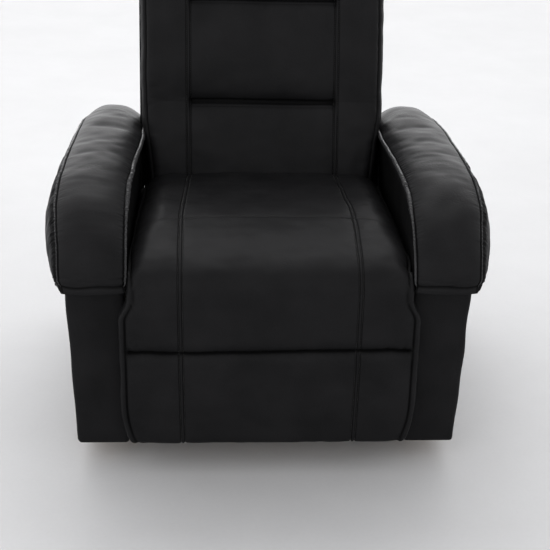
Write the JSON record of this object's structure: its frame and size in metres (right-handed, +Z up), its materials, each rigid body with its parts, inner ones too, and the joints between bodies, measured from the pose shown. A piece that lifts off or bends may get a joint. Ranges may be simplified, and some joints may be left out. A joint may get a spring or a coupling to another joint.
{
  "type": "recliner chair",
  "caption": "Black leather recliner with soft pillow arms, a seat that runs on into a fold-out footrest, a tufted reclining back and a steel link mechanism.",
  "frame": {"origin": "on the floor, under the middle of the chair's overall box", "axes": "+Z up, +X to the viewer's right when facing the chair's front, -Y towards the front"},
  "size_m": [0.836, 0.8419, 1.0301],
  "materials": {
    "leather": "black faux leather, fine grain, soft sheen",
    "padded_leather": "black leather-look coated fabric over foam, fine grain, soft sheen",
    "timber": "plain softwood and ply, unfinished",
    "black_steel": "black coated pressed steel",
    "zinc_steel": "zinc plated steel strap",
    "spring_steel": "oiled spring wire",
    "black_plastic": "moulded black plastic",
    "webbing": "woven elastic webbing"
  },
  "bodies": {
    "base": {"arm_cover_left": "leather", "arm_cover_right": "leather", "arm_frame_left": "timber", "arm_frame_right": "timber", "arm_pillow_left": "padded_leather", "arm_pillow_right": "padded_leather", "base_front_rail": "timber", "base_rear_rail": "timber", "rear_panel": "leather", "base_bracket_left": "black_steel", "base_bracket_right": "black_steel", "glide_front_left": "black_plastic", "glide_front_right": "black_plastic", "glide_rear_left": "black_plastic", "glide_rear_right": "black_plastic"},
    "front_stand_links": {"front_stand_link_left": "zinc_steel", "front_stand_link_right": "zinc_steel"},
    "rear_stand_links": {"rear_stand_link_left": "zinc_steel", "rear_stand_link_right": "zinc_steel"},
    "seat": {"seat_side_rail_left": "timber", "seat_side_rail_right": "timber", "seat_front_rail": "timber", "seat_rear_rail": "timber", "seat_spring_1": "spring_steel", "seat_spring_2": "spring_steel", "seat_spring_3": "spring_steel", "seat_spring_4": "spring_steel", "seat_cushion": "padded_leather", "front_roll": "padded_leather", "seat_plate_left": "black_steel", "seat_plate_right": "black_steel"},
    "backrest": {"back_cushion": "padded_leather", "back_cover": "leather", "back_upright_left": "timber", "back_upright_right": "timber", "back_lower_rail": "timber", "back_top_rail": "timber", "back_web_1": "webbing", "back_web_2": "webbing", "back_web_3": "webbing", "back_bracket_left": "black_steel", "back_bracket_right": "black_steel"},
    "footrest": {"footrest_pad": "padded_leather", "footrest_board": "timber", "footrest_bracket_left": "black_steel", "footrest_bracket_right": "black_steel"},
    "long_swings": {"long_swing_left": "zinc_steel", "long_swing_right": "zinc_steel"},
    "short_swings": {"short_swing_left": "zinc_steel", "short_swing_right": "zinc_steel", "torque_tube": "black_steel"},
    "upper_bars": {"upper_bar_left": "zinc_steel", "upper_bar_right": "zinc_steel"},
    "lower_bars": {"lower_bar_left": "zinc_steel", "lower_bar_right": "zinc_steel"}
  },
  "joints": [
    {"name": "recline", "type": "hinge", "parent": "base", "child": "front_stand_links", "pos_m": [0, -0.19923, 0.11], "axis": [1, 0, 0], "range_deg": [0, 26]},
    {"name": "seat_level", "type": "hinge", "parent": "front_stand_links", "child": "seat", "pos_m": [0, -0.16323, 0.2659], "axis": [1, 0, 0], "range_deg": [-26, 0]},
    {"name": "rear_link_swing", "type": "hinge", "parent": "base", "child": "rear_stand_links", "pos_m": [0, 0.17077, 0.11], "axis": [1, 0, 0], "range_deg": [0, 26]},
    {"name": "back_tilt", "type": "hinge", "parent": "seat", "child": "backrest", "pos_m": [0, 0.15077, 0.33], "axis": [-1, 0, 0], "range_deg": [0, 38]},
    {"name": "footrest_open", "type": "hinge", "parent": "seat", "child": "footrest", "pos_m": [0, -0.37423, 0.425], "axis": [-1, 0, 0], "range_deg": [0, 84], "deforming": ["front_roll"]},
    {"name": "long_swing_turn", "type": "hinge", "parent": "seat", "child": "long_swings", "pos_m": [0, -0.17623, 0.308], "axis": [-1, 0, 0], "range_deg": [0, 84]},
    {"name": "short_swing_turn", "type": "hinge", "parent": "seat", "child": "short_swings", "pos_m": [0, -0.10047, 0.26323], "axis": [-1, 0, 0], "range_deg": [0, 84]},
    {"name": "upper_bar_turn", "type": "hinge", "parent": "long_swings", "child": "upper_bars", "pos_m": [0, -0.14716, 0.18006], "axis": [-1, 0, 0], "range_deg": [-84, 0]},
    {"name": "lower_bar_turn", "type": "hinge", "parent": "long_swings", "child": "lower_bars", "pos_m": [0, -0.13236, 0.11492], "axis": [-1, 0, 0], "range_deg": [-84, 0]}
  ],
  "couplings": [
    {"joint": "seat_level", "follows": "recline", "ratio": -1},
    {"joint": "rear_link_swing", "follows": "recline", "ratio": 1},
    {"joint": "back_tilt", "follows": "recline", "ratio": 1.46},
    {"joint": "long_swing_turn", "follows": "footrest_open", "ratio": 1},
    {"joint": "short_swing_turn", "follows": "footrest_open", "ratio": 1},
    {"joint": "upper_bar_turn", "follows": "footrest_open", "ratio": -1},
    {"joint": "lower_bar_turn", "follows": "footrest_open", "ratio": -1}
  ]
}
